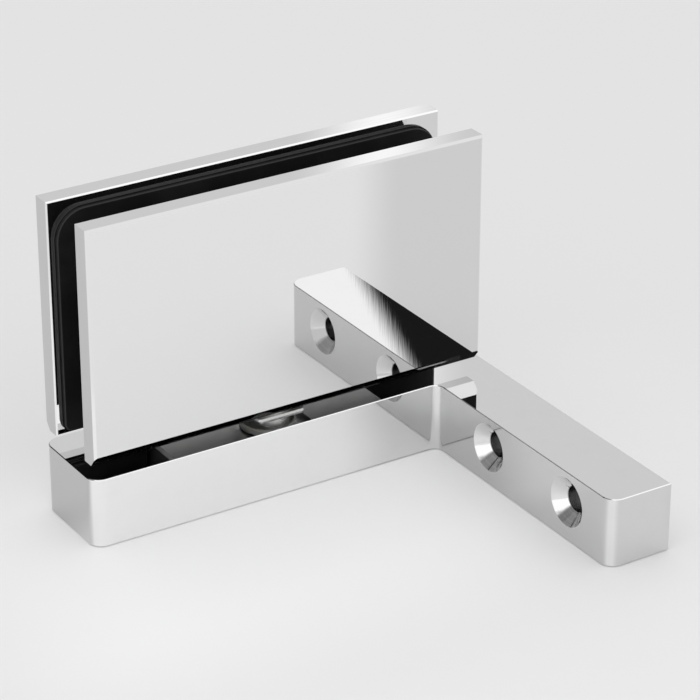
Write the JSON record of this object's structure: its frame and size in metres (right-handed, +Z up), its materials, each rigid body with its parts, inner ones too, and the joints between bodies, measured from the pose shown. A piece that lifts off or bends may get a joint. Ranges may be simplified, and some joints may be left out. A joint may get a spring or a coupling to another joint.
{
  "type": "glass door hinge",
  "caption": "Polished wall-mount pivot hinge for a frameless glass door: a two-plate glass clamp turning on a pin in an angled, countersunk wall bracket.",
  "frame": {"origin": "on the pivot axis, at the bracket's base face", "axes": "+Z up along the pivot axis, +X along the arm towards the wall, the wall leg runs towards -Y"},
  "size_m": [0.095, 0.0808, 0.0681],
  "materials": {
    "polished_chrome": "mirror-polished chrome plate on solid metal",
    "machined_steel": "milled steel block, left plain",
    "hardened_steel": "ground, hardened steel",
    "spring_steel": "drawn spring steel",
    "screw_steel": "plain stainless screw",
    "bearing_bronze": "turned bearing bronze",
    "nylon": "natural nylon",
    "black_gasket": "smooth black rubber sheet with a satin face"
  },
  "bodies": {
    "bracket": {"wall_bracket": "polished_chrome", "pivot_pin": "hardened_steel", "pin_lock_screw": "screw_steel", "thrust_washer": "nylon", "retaining_ring": "spring_steel"},
    "clamp": {"front_plate": "polished_chrome", "back_plate": "polished_chrome", "front_gasket": "black_gasket", "back_gasket": "black_gasket", "pivot_body": "machined_steel", "lower_bush": "bearing_bronze", "upper_bush": "bearing_bronze", "left_clamp_screw": "screw_steel", "right_clamp_screw": "screw_steel", "left_adjusting_screw": "screw_steel", "right_adjusting_screw": "screw_steel", "left_spring": "spring_steel", "right_spring": "spring_steel"},
    "left_detent": {"left_plunger": "hardened_steel", "left_roller": "hardened_steel"},
    "right_detent": {"right_plunger": "hardened_steel", "right_roller": "hardened_steel"}
  },
  "joints": [
    {"name": "clamp_swing", "type": "hinge", "parent": "bracket", "child": "clamp", "pos_m": [0, 0, 0.0178], "axis": [0, 0, 1], "range_deg": [-90, 90]},
    {"name": "left_detent_lift", "type": "slide", "parent": "clamp", "child": "left_detent", "axis": [-1, 0, 0], "range_m": [0, 0.0005], "stiffness_N_per_m": 2000, "springref_m": -0.001},
    {"name": "right_detent_lift", "type": "slide", "parent": "clamp", "child": "right_detent", "axis": [1, 0, 0], "range_m": [0, 0.0005], "stiffness_N_per_m": 2000, "springref_m": -0.001}
  ]
}
